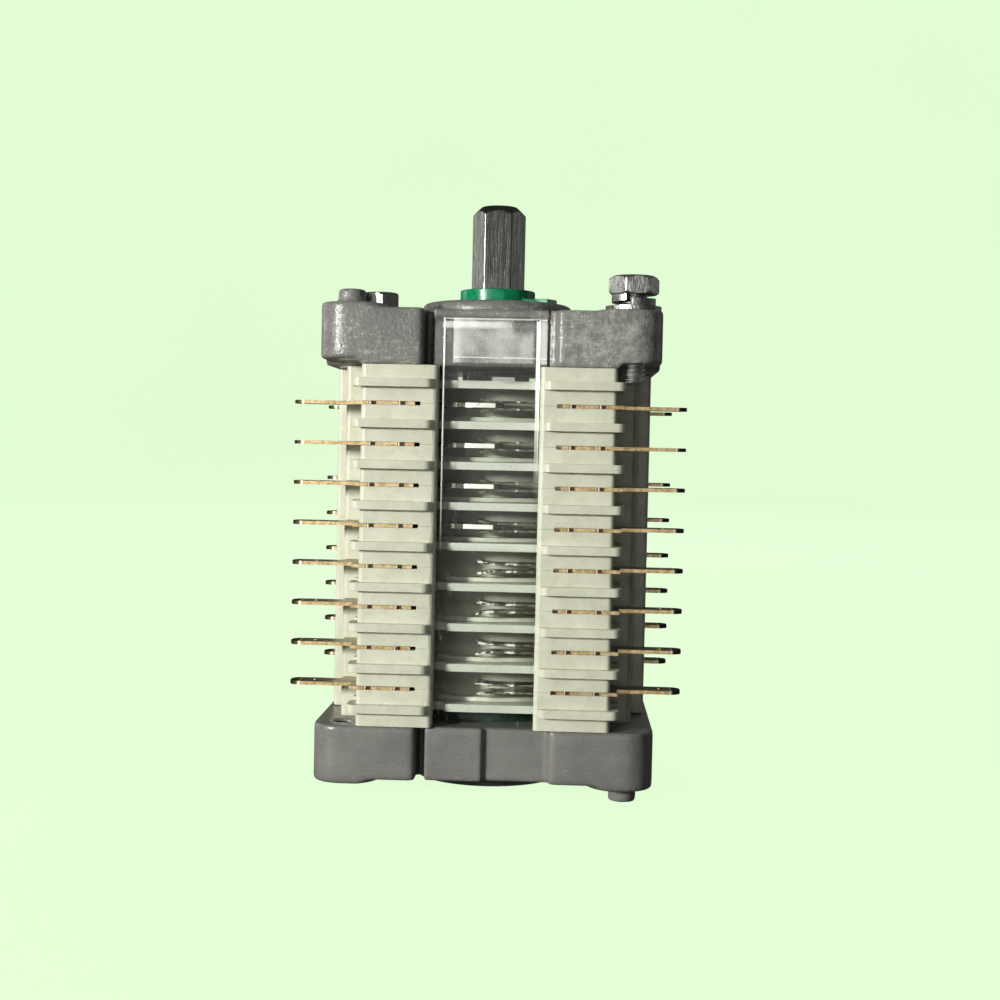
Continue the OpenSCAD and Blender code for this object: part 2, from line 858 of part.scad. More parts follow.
module tie_washers() {
    color("silver")
    at_ties() linear_extrude(tie_washer_t) difference() {
        circle(tie_washer_r, $fn = round_fn);
        circle(tie_r + play, $fn = round_fn);
    }
}

bottom_end_casting();
top_end_casting();
for (i = [1:decks + 1])
    deck_frame(i);
front_window();
rear_window();
left_side_cover();
right_side_cover();
drive_shaft();
top_bush();
bottom_bush();
retaining_ring();
for (i = [1:decks]) {
    contact_carrier(i);
    contact_blades(i);
    terminals(i);
    contact_springs(i);
}
rivets();
mounting_bolt();
spring_washer();
flat_washer();
tie_bolts();
tie_washers();
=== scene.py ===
# %% [markdown]
# # A rotary auxiliary switch
# The real thing is a stack of cream contact decks clamped between two grey die castings. Brass
# plug tabs stick out at both sides, and a hexagon shaft turns the contacts inside. The solids
# come packed from the CAD model, each in its place. They could be modelled again in Blender, but
# then the two models would drift apart. So the solids stay, and this lesson gives them broken
# edges, threads, finishes and light.

import json
import math

import bmesh
import bpy
import numpy as np
from mathutils import Matrix, Vector


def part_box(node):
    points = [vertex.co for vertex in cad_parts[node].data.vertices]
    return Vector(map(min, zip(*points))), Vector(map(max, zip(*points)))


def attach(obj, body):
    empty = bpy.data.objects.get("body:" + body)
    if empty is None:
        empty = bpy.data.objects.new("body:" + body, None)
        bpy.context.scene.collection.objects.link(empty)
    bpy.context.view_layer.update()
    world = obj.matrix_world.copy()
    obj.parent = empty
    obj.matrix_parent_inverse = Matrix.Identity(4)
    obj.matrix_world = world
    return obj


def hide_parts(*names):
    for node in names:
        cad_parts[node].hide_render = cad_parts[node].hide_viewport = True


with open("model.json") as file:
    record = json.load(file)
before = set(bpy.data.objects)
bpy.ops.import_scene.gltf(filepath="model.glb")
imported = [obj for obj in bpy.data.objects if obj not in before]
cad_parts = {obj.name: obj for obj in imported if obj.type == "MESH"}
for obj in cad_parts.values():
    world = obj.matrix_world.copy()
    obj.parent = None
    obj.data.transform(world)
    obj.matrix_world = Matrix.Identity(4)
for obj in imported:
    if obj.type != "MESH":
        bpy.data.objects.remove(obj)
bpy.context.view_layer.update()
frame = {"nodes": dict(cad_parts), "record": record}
nodes = frame["nodes"]
MM = 0.001


def short(values):
    """Numbers rounded for printing."""
    return [round(v, 4) for v in values]


# %% [markdown]
# ## Camera
# The photograph looks at the switch almost level with its middle, from a little to the right of
# its front. The camera could be moved by eye until the picture fits. Here the place and the lens
# are fitted to 61 readings of the picture, each set against its place in the CAD model. Such a fit
# can't tell the object's size, and it tells the turn only within a few degrees, because a turned
# camera and a shifted picture look much alike. A camera's own matrix has its right, up and
# backward directions as columns, so they are worked out from three small turns.

# %% Camera
LENS, SENSOR, NEAREST = 58.62, 36, 0.01
PLACE = (0.01705, -0.39061, 0.07935)
TURN, TIP, ROLL = (math.radians(angle) for angle in (-2.268, -1.977, 1.257))


def camera_axes(turn, tip, roll):
    """Forward is +Y turned about Z and tipped up; right is level; then both turn about forward."""
    forward = Vector((math.sin(turn) * math.cos(tip), math.cos(turn) * math.cos(tip), math.sin(tip)))
    level = Vector((math.cos(turn), -math.sin(turn), 0))
    above = level.cross(forward)
    right = math.cos(roll) * level + math.sin(roll) * above
    up = math.cos(roll) * above - math.sin(roll) * level
    return right, up, -forward


lens = bpy.data.cameras.new("photograph")
lens.lens, lens.sensor_width, lens.clip_start = LENS, SENSOR, NEAREST
camera = bpy.data.objects.new("photograph", lens)
bpy.context.scene.collection.objects.link(camera)
turned_about = Matrix(camera_axes(TURN, TIP, ROLL)).transposed().to_4x4()
camera.matrix_world = Matrix.Translation(PLACE) @ turned_about
bpy.context.scene.camera = camera
bpy.context.scene.view_settings.view_transform = "Standard"
print(f"camera at {short(camera.location)}, {lens.lens:.2f} mm lens")

# %% [markdown]
# ## Surfaces on a grid
# The floor, the bolts and the threads are all surfaces that go round an upright line. Such a
# surface has two parameters, the angle and the row, so numpy can work out all its points at once,
# and one more function joins neighbouring points to quads. A loop that places vertices one by one
# would give the same mesh, but it is slower and hides the formula.


# %% Surfaces on a grid
def full_turn(count):
    """That many angles around a circle, as one row."""
    return np.linspace(0, 2 * math.pi, count, endpoint=False)[None, :]


def around(radius, turn, height, centre=(0, 0)):
    """Points around an upright line: the centre, plus the radius times the angle's cosine in x
    and its sine in y, at a height that each row has."""
    x, y = centre[0] + radius * np.cos(turn), centre[1] + radius * np.sin(turn)
    return np.stack(np.broadcast_arrays(x, y, height), -1)


def ring_quads(rows, columns):
    """Quads between neighbouring rows and columns, where the last column meets the first."""
    row, column = np.arange(rows - 1)[:, None], np.arange(columns)[None, :]
    following = (column + 1) % columns
    corners = [row * columns + column, row * columns + following,
               (row + 1) * columns + following, (row + 1) * columns + column]
    return np.stack(np.broadcast_arrays(*corners), -1).reshape(-1, 4).tolist()


def mesh_object(name, points, faces):
    """A new smooth object at the origin, from an array of points and lists of corners."""
    mesh = bpy.data.meshes.new(name)
    mesh.from_pydata(np.asarray(points).reshape(-1, 3).tolist(), [], faces)
    mesh.polygons.foreach_set("use_smooth", [True] * len(mesh.polygons))
    mesh.update()
    piece = bpy.data.objects.new(name, mesh)
    bpy.context.scene.collection.objects.link(piece)
    return piece


def surface(name, points):
    """An object from a grid of points: rows by columns by three."""
    return mesh_object(name, points, ring_quads(*points.shape[:2]))


print("3 rows of 4 points give", len(ring_quads(3, 4)), "quads")

# %% [markdown]
# ## Floor
# The photograph's ground is plain, with no horizon. A flat floor ends in one, and a sheet that
# curves up behind the switch still shows its sides when the camera goes round. So the profile of
# such a sheet, level, then bent, then upright, is turned about z into a wide bowl. Nothing of it
# is mirrored in the switch, and it sends no light back, because the lamps alone do that.

# %% Floor
BEND_ROWS, TURN_STEPS, POLE = 24, 96, 1e-4


def bowl(level, bend, top):
    """A surface turned about z: its profile runs level out to that radius, then round a quarter
    circle of the radius bend and straight up to the top, for each angle of turn."""
    lean = np.linspace(0, math.pi / 2, BEND_ROWS)[:, None]
    reach = np.concatenate([[[POLE]], level + bend * np.sin(lean), [[level + bend]]])
    height = np.concatenate([[[0]], bend * (1 - np.cos(lean)), [[top]]])
    return around(reach, full_turn(TURN_STEPS), height)


floor = surface("floor", bowl(level=1.9, bend=0.8, top=3.0))
floor.visible_diffuse = floor.visible_glossy = floor.visible_shadow = False
print(f"floor of {len(floor.data.polygons)} faces")

# %% [markdown]
# ## Light
# The left blocks throw a shadow across the window, and its edge tells where the key light stands:
# low, half left, and small enough for a clear edge. The right flank stays in shade. One lamp can't
# do the rest, because metal and gloss show the lamps themselves. So some softboxes only shine:
# they leave bright lines on rounded edges, steel and brass, and no light on matt faces. Others
# only light: they lift the shade and leave no reflection. The strong one at the back is for the
# views from behind.

# %% Lights
WARM, COOL = (1.0, 0.985, 0.95), (0.97, 0.99, 1.0)
AIM = Vector((0, 0, 0.07))


def softbox(name, turn, lift, far, size, power, colour=(1, 1, 1), shines=True, lights=True):
    """A rectangular light that faces the switch, turned from its front and lifted, in degrees.
    One that doesn't shine leaves no reflection in metal or gloss, and one that doesn't light
    leaves nothing else."""
    light = bpy.data.lights.new(name, "AREA")
    light.shape, light.energy, light.color = "RECTANGLE", power, colour
    light.size, light.size_y = size
    turn, lift = math.radians(turn), math.radians(lift)
    away = Vector((math.sin(turn) * math.cos(lift), -math.cos(turn) * math.cos(lift), math.sin(lift)))
    box = bpy.data.objects.new(name, light)
    box.location = AIM + far * away
    box.rotation_euler = away.to_track_quat("Z", "Y").to_euler()
    box.visible_glossy, box.visible_diffuse, box.visible_camera = shines, lights, False
    bpy.context.scene.collection.objects.link(box)
    return box


boxes = [
    softbox("key", turn=-44, lift=9, far=1.0, size=(0.13, 0.13), power=10.8, colour=WARM),
    softbox("edge_light", turn=-23, lift=12, far=1.0, size=(0.05, 0.4), power=0.6, lights=False),
    softbox("low_strip", turn=-7, lift=-3, far=1.0, size=(0.85, 0.3), power=1.3, lights=False),
    softbox("left_card", turn=-120, lift=12, far=1.0, size=(0.3, 0.7), power=0.9, lights=False),
    softbox("right_card", turn=118, lift=14, far=1.0, size=(0.3, 0.7), power=0.24),
    softbox("left_fill", turn=-80, lift=12, far=1.2, size=(0.5, 0.5), power=0.5, shines=False),
    softbox("front_fill", turn=-15, lift=35, far=1.5, size=(0.7, 0.5), power=1.6, colour=COOL,
            shines=False),
    softbox("back_fill", turn=172, lift=40, far=1.5, size=(0.8, 0.8), power=9.0, colour=COOL,
            shines=False),
]
world = bpy.data.worlds.new("room")
world.use_nodes = True
room = world.node_tree.nodes["Background"]
room.inputs["Color"].default_value, room.inputs["Strength"].default_value = (0.88, 0.95, 0.9, 1), 0.07
bpy.context.scene.world = world
print(len(boxes), "softboxes and a dim room")

# %% [markdown]
# ## Finishes written as sums
# A finish is a network of nodes. Written out node by node it is hard to read, so a small class
# wraps one socket: adding and multiplying two of them adds the Math nodes, and one method makes
# every other kind of node. Most of a finish is masks, which are wires that are 1 where a mark is
# and 0 elsewhere, and blends between two colours by such a mask.


# %% Sockets with operators
class Wire:
    """One output socket of a finish. Sums of wires and numbers add Math nodes."""

    def __init__(self, tree, socket=None):
        self.tree, self.socket = tree, socket

    def node(self, kind, settings=None, values=None, out=0):
        """Any node: its settings are set first, then its sockets, by a value or by a link."""
        made = self.tree.nodes.new(kind)
        for key, value in (settings or {}).items():
            setattr(made, key, value)
        for key, value in (values or {}).items():
            if isinstance(value, Wire):
                self.tree.links.new(value.socket, made.inputs[key])
            else:
                made.inputs[key].default_value = value
        return Wire(self.tree, made.outputs[out])

    def worked(self, operation, *terms):
        """A Math node of that operation on the terms."""
        return self.node("ShaderNodeMath", {"operation": operation}, dict(enumerate(terms)))

    def __add__(self, other):
        return self.worked("ADD", self, other)

    def __sub__(self, other):
        return self.worked("SUBTRACT", self, other)

    def __rsub__(self, other):
        return self.worked("SUBTRACT", other, self)

    def __mul__(self, other):
        return self.worked("MULTIPLY", self, other)

    def __mod__(self, other):
        return self.worked("FLOORED_MODULO", self, other)

    def __abs__(self):
        return self.worked("ABSOLUTE", self)

    __radd__, __rmul__ = __add__, __mul__

    def sign(self):
        """-1 below zero and 1 above it."""
        return self.worked("SIGN", self)

    def fold(self, half):
        """Up from 0 to half and down again, over and over."""
        return self.worked("PINGPONG", self, half)

    def at_most(self, limit):
        """Itself, but never more than the limit."""
        return self.worked("MINIMUM", self, limit)

    def near(self, middle, half):
        """1 where it is within half of the middle, and 0 elsewhere."""
        return self.worked("COMPARE", self, middle, half)

    def over(self, low, high):
        """0 below low, 1 above high and a soft rise between them."""
        return self.node("ShaderNodeMapRange", {"interpolation_type": "SMOOTHSTEP"},
                         {"Value": self, "From Min": low, "From Max": high})

    def span(self, rise, full, fall, gone):
        """A soft rise between the first two and a soft fall between the last two."""
        return self.over(rise, full) * (1 - self.over(fall, gone))

    def blend(self, first, second):
        """From the first colour to the second as this wire goes from 0 to 1. The Mix node's
        colours are its sockets 6 and 7, and its output 2."""
        colours = [c if isinstance(c, Wire) else (*c, 1) for c in (first, second)]
        return self.node("ShaderNodeMix", {"clamp_factor": True, "data_type": "RGBA"},
                         {0: self, 6: colours[0], 7: colours[1]}, out=2)

    def part(self, axis):
        """The x, y or z of a vector."""
        return self.node("ShaderNodeSeparateXYZ", None, {0: self}, out=axis)

    def scaled(self, x, y, z):
        """A vector with its three parts multiplied, which stretches the pattern that reads it."""
        return self.node("ShaderNodeVectorMath", {"operation": "MULTIPLY"}, {0: self, 1: (x, y, z)})

    def noise(self, size, detail=3.0, rough=0.55, warp=0.0):
        """Soft noise around 0.5, with blotches about size millimetres across."""
        return self.node("ShaderNodeTexNoise", None,
                         {"Vector": self, "Scale": 1 / size, "Detail": detail, "Roughness": rough,
                          "Distortion": warp})

    def specks(self, spacing, radius):
        """1 in round specks of about that radius, one to each cell of that spacing."""
        far = self.node("ShaderNodeTexVoronoi", None, {"Vector": self, "Scale": 1 / spacing})
        return 1 - far.over(0.6 * radius / spacing, radius / spacing)

    def bump(self, height):
        """The surface's direction, tilted by a height in millimetres."""
        return self.node("ShaderNodeBump", None, {"Height": height, "Distance": MM, "Strength": 1.0})


print("finishes can be written as sums")

# %% [markdown]
# ## A finish and its places
# Each finish starts as one Principled shader. What is the same all over is set on its sockets as a
# number, and what varies is linked. Patterns are measured in millimetres on the object, so a speck
# of 0.2 is a speck of 0.2 mm. The model is the same after half a turn, so many marks are given by
# how far they lie to the side away from the key light, which is right at the front and left at the
# back. Every mask that names a place was set by comparing renders with the one photograph. Some of
# them may stand for light and not for the material, so they would need another look under another
# light, and the marks at the back are only the front's, turned.


# %% A finish and its places
def finish(name, **constants):
    """A material with one Principled shader, its constant sockets set, and its place in mm."""
    material = bpy.data.materials.new(name)
    material.use_nodes = True
    shader = material.node_tree.nodes["Principled BSDF"]
    for key, value in constants.items():
        shader.inputs[key.replace("_", " ")].default_value = value
    at = Wire(material.node_tree).node("ShaderNodeTexCoord", out="Object")
    at = at.node("ShaderNodeVectorMath", {"operation": "SCALE"}, {0: at, 3: 1 / MM})
    return material, shader, at


def feed(shader, **wires):
    """Links wires to a shader's sockets by name."""
    for key, wire in wires.items():
        wire.tree.links.new(wire.socket, shader.inputs[key.replace("_", " ")])


def leeward(at):
    """How far to the side away from the key light: x in front, and its opposite behind."""
    return at.part("X") * at.part("Y").sign() * -1


def tell(material):
    """Prints a finish and the number of its nodes."""
    print(f"{material.name}: {len(material.node_tree.nodes)} nodes")


print("places are in millimetres, and one scene unit is", round(1 / MM), "of them")

# %% [markdown]
# ## Painted die casting
# The castings are grey paint over aluminium. Up close the paint has orange peel about a
# millimetre across, a slow wave from the casting under it, and a few pale specks of dust. The
# upper casting has stronger peel, small painted glints, a painted sheen on the block away from
# the light, and a dark line of painted shade in the seam beside that block. A painted picture
# could hold all this for one view. Noise on Object coordinates covers every side, and masks put
# each mark in its place.

# %% Casting paint
paint, shader, at = finish("casting_paint", Specular_IOR_Level=0.5)
lee, upper = leeward(at), at.part("Z").over(90, 96)
tone = (at.noise(9.0, 2.0) * 0.6 + at.noise(0.5, 2.0) * 0.4).over(0.35, 0.65)
grey = tone.blend((0.17, 0.168, 0.152), (0.225, 0.223, 0.204))
dust = at.specks(2.6, 0.2) * at.noise(7.0).over(0.5, 0.7)
# Painted highlight: bright glints and a sheen on the upper casting, added to the real dust.
painted_glints = at.specks(0.65, 0.2) * at.noise(3.0, 4.0, 0.8).over(0.47, 0.57)
painted_sheen_patches = at.scaled(0.6, 1, 1.4).noise(1.7, 4.0, 0.75).over(0.54, 0.62)
painted_sheen_patches = painted_sheen_patches * at.noise(9.0, 1.0).over(0.42, 0.55)
painted_sheen_lee_side = lee.over(14, 18) * at.noise(2.5, 4.0, 0.7).over(0.35, 0.65)
dust_and_painted_sheen = dust * 0.7 + upper * (painted_glints * 0.5 + (painted_sheen_patches + 0.9 * painted_sheen_lee_side) * 0.4)
# Painted shade: a dark line in the seam beside the block away from the light.
painted_seam_shade = lee.near(12.9, 0.3) * upper * abs(at.part("Y")).over(29, 30)
peel = at.noise(0.75, 2.0, 0.5) * (0.05 + 0.09 * upper) + at.noise(6.0, 1.0) * 0.2 + dust * 0.03
feed(shader, Base_Color=painted_seam_shade.blend(dust_and_painted_sheen.blend(grey, (0.62, 0.62, 0.58)), (0.03, 0.025, 0.02)),
     Roughness=0.24 + 0.16 * at.noise(3.5, 3.0), Normal=at.bump(peel))
tell(paint)

# %% [markdown]
# ## Cream moulding compound
# The deck frames are a filled moulding compound: a warm cream, slightly mottled, with tiny dark
# flecks and a faint grime. The surface is satin, with a very fine texture. The bars under the
# clear covers look paler in the photograph, most of all in the upper decks, and a mask on x and y
# paints that light onto them. Whether they are cleaner or better lit can't be told, and a mask on
# x and y makes them paler.

# %% Cream moulding
cream, shader, at = finish("cream_moulding", Specular_IOR_Level=0.45)
mottle = at.noise(5.0, 4.0)
grime = at.noise(2.4, 5.0, 0.7).over(0.5, 0.75)
base = mottle.over(0.3, 0.7).blend((0.62, 0.63, 0.485), (0.71, 0.72, 0.575))
base = (grime * 0.35).blend(base, (0.42, 0.42, 0.3))
covered = (1 - abs(at.part("X")).over(10.8, 11.0)) * abs(at.part("Y")).over(29, 29.5)
high = at.part("Z").over(55, 57)
# Painted light: the bars under the clear covers are made paler, more in the upper decks.
painted_bar_light = high.blend((0.8, 0.84, 0.76), (0.93, 0.95, 0.85))
base = (covered * (0.6 + 0.3 * high)).blend(base, painted_bar_light)
flecks = at.specks(2.3, 0.17) * at.noise(9.0).over(0.42, 0.6)
feed(shader, Base_Color=(flecks * 0.7).blend(base, (0.2, 0.16, 0.09)),
     Roughness=0.24 + 0.2 * at.noise(2.0),
     Normal=at.bump(at.noise(0.35, 2.0) * 0.012 + mottle * 0.05))
tell(cream)

# %% [markdown]
# ## Terminal brass
# The plug tabs are stamped from brass strip. The rolled faces have toned to a dark brown, and the
# sheared edges stay bright and coppery, a little darker along their rims. The direction that a
# face looks in tells which is which: the rolled faces look up or down. Each front edge has two
# notches. The solids have them too, but they come out paler here than in the photograph. So
# masks give the notches painted shade and a painted glint at the left of each, give the tips
# painted shade and put a painted highlight where each tip starts.

# %% Terminal brass
DECK_PITCH = 9.0
TAB_HEIGHT = 24.8
NOTCHES = (18.8, 25.3)
brass, shader, at = finish("terminal_brass", Metallic=1.0)
x, front = at.part("X"), abs(at.part("Y"))
rolled = abs(at.node("ShaderNodeNewGeometry", out="Normal").part("Z")).over(0.5, 0.8)
stain = at.noise(2.2, 4.0, 0.65)
face = stain.over(0.35, 0.7).blend((0.28, 0.23, 0.15), (0.5, 0.42, 0.29))
edge = at.noise(0.8, 3.0).over(0.3, 0.7).blend((0.43, 0.29, 0.13), (0.72, 0.57, 0.33))
broken = (at.part("Z") - TAB_HEIGHT).fold(DECK_PITCH / 2).over(0.28, 0.42)
edge = (broken * 0.45).blend(edge, (0.2, 0.12, 0.05))
dark, light = abs(x + 0.35), abs(x + 0.78)
# Painted shade in the notches and a painted glint at the left of each.
painted_notch_glint = (light.near(NOTCHES[0], 0.16) + light.near(NOTCHES[1], 0.16)) * front.over(32.5, 32.8)
painted_notch_shade = (dark.near(NOTCHES[0], 0.75) + dark.near(NOTCHES[1], 0.75)) * front.over(30.9, 31.0)
painted_notch_shade = painted_notch_shade * (1 - painted_notch_glint)
# Painted shade on the tips, and a painted highlight where each tip starts.
tip = abs(x).over(41.8, 42.1)
metal = painted_notch_glint.blend(rolled.blend(edge, face), (0.95, 0.85, 0.6))
metal = (tip * 0.95).blend(metal, (0.035, 0.034, 0.02))
metal = abs(x).near(41.6, 0.15).blend(metal, (1.0, 0.95, 0.75))
feed(shader, Base_Color=(painted_notch_shade * 0.9).blend(metal, (0.06, 0.035, 0.02)),
     Roughness=0.28 + 0.25 * stain + 0.15 * tip,
     Normal=at.bump(at.scaled(0.2, 1, 1).noise(0.4, 2.0) * 0.02))
tell(brass)

# %% [markdown]
# ## Silvered contacts
# Bright stubs show behind the upper windows, and they are taken for silvered blades and rivets.
# Only two short spans of them are bright, and the rest is almost black. Wiping by the springs
# could do that, but one photograph doesn't show it. The spans are a painted highlight, masks
# along x broken up by noise, and the silver is smoother there. The near-black rest is painted
# shade.

# %% Silvered contacts
silver, shader, at = finish("silvered_contact", Metallic=1.0)
along = leeward(at) * -1
# Painted highlight on two spans along x; the rest is painted shade.
painted_bright_spans = along.span(-1.5, -1.1, 5.2, 5.5) + along.span(7.2, 7.4, 8.0, 8.2)
painted_dark_rest = 1 - painted_bright_spans * (1 - at.noise(1.5, 4.0, 0.6).over(0.6, 0.8))
feed(shader, Base_Color=painted_dark_rest.blend((0.86, 0.83, 0.73), (0.06, 0.055, 0.045)),
     Roughness=0.2 + 0.2 * painted_dark_rest, Normal=at.bump(at.noise(0.9, 2.0) * 0.02))
tell(silver)

# %% [markdown]
# ## Spring bronze
# The leaf springs are taken for bronze that has toned dark brown. In the lower decks the
# photograph has small broken bright patches where their ends are. The leaves' finer shape can't be
# made out, so it isn't modelled. Two spans along x and a small bright end are painted highlights
# instead, in a paler, less metallic bronze.

# %% Spring bronze
bronze, shader, at = finish("spring_bronze")
lee = leeward(at)
# Painted highlight: broken bright patches near the spring ends.
bright = at.scaled(0.6, 1, 1).noise(0.8, 4.0, 0.7).over(0.46, 0.54)
lower = 1 - at.part("Z").over(55, 56)
glint_spans = (lee.near(-0.2, 2.1) + lee.near(5.65, 1.2) * 0.9) * lower
painted_spring_glints = bright * glint_spans + 0.15 * bright + lee.near(6.4, 0.3) * 0.6
feed(shader, Base_Color=painted_spring_glints.blend((0.09, 0.075, 0.05), (0.95, 0.92, 0.84)),
     Roughness=0.36 - 0.14 * painted_spring_glints, Metallic=1 - 0.6 * painted_spring_glints,
     Normal=at.bump(at.noise(0.6, 2.0) * 0.08))
tell(bronze)

# %% [markdown]
# ## Drawn steel
# The shaft is hexagon bar drawn through a die, so its scratches all run along it. Noise that is
# stretched along the shaft gives the streaks in colour, gloss and height. An anisotropic shader
# could give a brushed sheen too, but noise also draws the single scratches that the photograph has.

# %% Drawn steel
steel, shader, at = finish("drawn_steel", Metallic=1.0)
streak = at.scaled(1, 1, 0.03).noise(0.35, 4.0, 0.7)
tone = (streak * 0.8 + at.scaled(1, 1, 0.2).noise(2.2, 3.0) * 0.2).over(0.35, 0.65)
scratch = at.scaled(1, 1, 0.04).noise(0.16, 2.0, 0.6).over(0.62, 0.72)
toned = tone.blend((0.1, 0.105, 0.09), (0.29, 0.3, 0.27))
feed(shader, Base_Color=(scratch * 0.6).blend(toned, (0.9, 0.9, 0.87)),
     Roughness=0.16 + 0.1 * streak, Normal=at.bump(streak * 0.04))
tell(steel)

# %% [markdown]
# ## Zinc-plated steel
# The screws and washers are taken for bright zinc, cloudy and a little streaked. The washers and
# the thread look darker than the head in the photograph, so a mask on z paints shade between the
# casting and the head.

# %% Zinc-plated steel
zinc, shader, at = finish("zinc_plated_steel", Metallic=1.0)
cloud = at.noise(1.6, 4.0, 0.6)
worn = at.scaled(1, 1, 0.35).noise(0.5, 3.0, 0.7).over(0.35, 0.65)
bright = (cloud.over(0.35, 0.65) * 0.5 + worn * 0.5).blend((0.52, 0.53, 0.51), (0.95, 0.94, 0.9))
# Painted shade between the casting and the head.
painted_head_shade = at.part("Z").span(99, 100, 113.1, 113.3)
feed(shader, Base_Color=(painted_head_shade * 0.6).blend(bright, (0.07, 0.07, 0.065)),
     Roughness=0.2 + 0.25 * cloud, Normal=at.bump(cloud * 0.09 + worn * 0.03))
tell(zinc)

# %% [markdown]
# ## Green bushes
# The bushes are a glossy green plastic with a little wear. The thin ear beside the upper collar
# looks pale, and the green that shows low in the window, taken for the lower bush, is made very
# dark with painted shade. Both are blends by place, because the two bushes share one finish.

# %% Green bushes
green, shader, at = finish("green_bush", Specular_IOR_Level=0.35)
z, wear = at.part("Z"), at.noise(1.8, 4.0)
colour = wear.over(0.3, 0.75).blend((0.0, 0.18, 0.07), (0.01, 0.3, 0.135))
# Painted shade: everything below the upper collar is made very dark.
colour = z.over(99, 100).blend((0.012, 0.045, 0.026), colour)
ear = at.part("X").over(9.2, 10.0) * z.over(100, 101) * at.noise(0.9, 3.0).over(0.3, 0.6)
feed(shader, Base_Color=ear.blend(colour, (0.3, 0.62, 0.42)), Roughness=0.14 + 0.2 * wear,
     Normal=at.bump(at.noise(0.7) * 0.03))
tell(green)

# %% [markdown]
# ## Contact carriers
# The carriers are pale grey-green drums, seen only through the windows. In the photograph the
# lower part of each looks brighter, so each gets painted light low down and painted shade above.
# Eight masks on z could draw that, but every deck is the same, so the height is taken within one
# deck: what is left of z after whole pitches are taken off.

# %% Contact carriers
CARRIER_FOOT = 20.3
rotor, shader, at = finish("rotor_plastic", Specular_IOR_Level=0.45)
wear = at.noise(2.5, 4.0)
# Painted light on the lower part of each deck and painted shade above it.
level = (at.part("Z") - CARRIER_FOOT) % DECK_PITCH
colour = level.over(3.2, 5.0).blend((0.84, 0.87, 0.73), (0.6, 0.63, 0.51))
feed(shader, Base_Color=(wear.over(0.3, 0.7) * 0.35).blend(colour, (0.4, 0.45, 0.36)),
     Roughness=0.3 + 0.3 * wear, Normal=at.bump(at.noise(0.6) * 0.02))
tell(rotor)

# %% [markdown]
# ## Spring steel and painted hole shade
# The retaining ring doesn't show in the photograph, and dark spring steel is a guess. The threads
# in the tapped holes take the same finish, with painted shade that makes them nearly black, because
# the one hole that shows is dark. Both could have finishes of their own, but a mask on x tells them
# apart as well: the ring lies near the shaft, and the holes lie far out.

# %% Spring steel and painted hole shade
spring, shader, at = finish("spring_steel", Metallic=1.0)
# Painted shade: threads far out from the shaft, in the tapped holes, are made nearly black.
wear, painted_hole_shade = at.noise(1.2, 4.0), abs(at.part("X")).over(25, 26)
colour = wear.over(0.3, 0.7).blend((0.16, 0.16, 0.18), (0.34, 0.34, 0.36))
feed(shader, Base_Color=(painted_hole_shade * 0.92).blend(colour, (0.012, 0.011, 0.01)),
     Roughness=0.25 + 0.3 * wear, Normal=at.bump(at.noise(0.4) * 0.01))
tell(spring)

# %% [markdown]
# ## Clear cover
# The windows are clear plastic. Real refraction would need many light paths to reach the contacts
# behind, so the cover is a mix: mostly see-through, with a glossy skin whose share grows towards
# grazing angles and where there are scratches, dust and smears. In the photograph the cover's
# walls are bright, as they are where light runs along inside a clear moulding and comes out. A mix
# like this can't carry light inside, so the walls, the top edge and a step get painted light,
# drawn milky, the far edge glows a little, and a band below the top edge is a painted reflection.
# First come the masks of those places.

# %% The cover's walls
clear, shader, at = finish("clear_cover", Specular_IOR_Level=0.5, Emission_Strength=1.0)
lee, z = leeward(at), at.part("Z")
upright = 1 - abs(at.node("ShaderNodeNewGeometry", out="Normal").part("X")).over(0.3, 0.6)
panel = lee.over(-10.8, -10.6) * upright
inside = z.over(96.8, 97.2) * upright
far_wall = lee.over(11.0, 11.15) * inside
far_edge = lee.near(10.55, 0.42) * upright * z.over(62, 98)
near_wall = lee.near(-10.2, 0.2) * upright * z.over(50, 84)
# Painted reflection: a milky band below the cover's top edge.
painted_top_reflection = z.span(104.2, 105.2, 105.6, 106.3) * (1 - lee.over(0.5, 5.5))
painted_top_reflection = painted_top_reflection * at.noise(3.0).over(0.1, 0.5)
top_wall = z.over(106.4, 106.6) * 0.5 + painted_top_reflection * 0.6
step = z.span(98.0, 98.15, 98.2, 98.35) * panel
step = step * lee.over(-8.0, -7.8) * at.noise(2.0).over(0.3, 0.5)
walls = far_wall * 0.4 + far_edge * 0.85 + near_wall * 0.9 + top_wall * panel + step * 0.5
print("walls of the cover drawn by", len(clear.node_tree.nodes), "nodes")

# %% [markdown]
# ## Painted reflection and wear on the cover
# The upper part of the cover lies over the casting and looks milky, apart from one corner; that
# milkiness is a painted reflection. That may be wear or a soft reflection. Below it are a thin haze
# and one pale patch. Hairlines run upright, and motes and smears are everywhere. Each is a noise or
# specks with a mask for its place.

# %% Painted reflection and wear on the cover
# Painted reflection: the milky zone over the casting, less of it in one corner.
worn = lee.span(-8.2, -8.0, 9.5, 9.8) * inside
scuff = at.noise(0.9, 3.0, 0.7, 2.5).over(0.58, 0.68) * worn
corner = lee.over(4.0, 6.0) * z.over(102.6, 104.4)
patchy_reflection = (0.9 - 0.75 * corner) * (0.35 + 0.65 * at.noise(5.0, 2.0, 0.5).over(0.3, 0.65))
painted_reflection_milk = worn * (patchy_reflection + (1 - lee.over(-7.8, -5.4)) * 0.6)
haze = panel * z.over(92.4, 93.0) * (1 - inside)
haze = haze * (0.5 + at.scaled(0.1, 1, 1).noise(0.8, 2.0).over(0.5, 0.7))
patch = lee.span(0.3, 0.8, 5.3, 5.8) * z.near(93.5, 0.45) * panel
film = panel * z.over(52, 62)
hairline = at.scaled(1, 1, 0.12).noise(0.28, 2.0, 0.5, 1.5).over(0.66, 0.74)
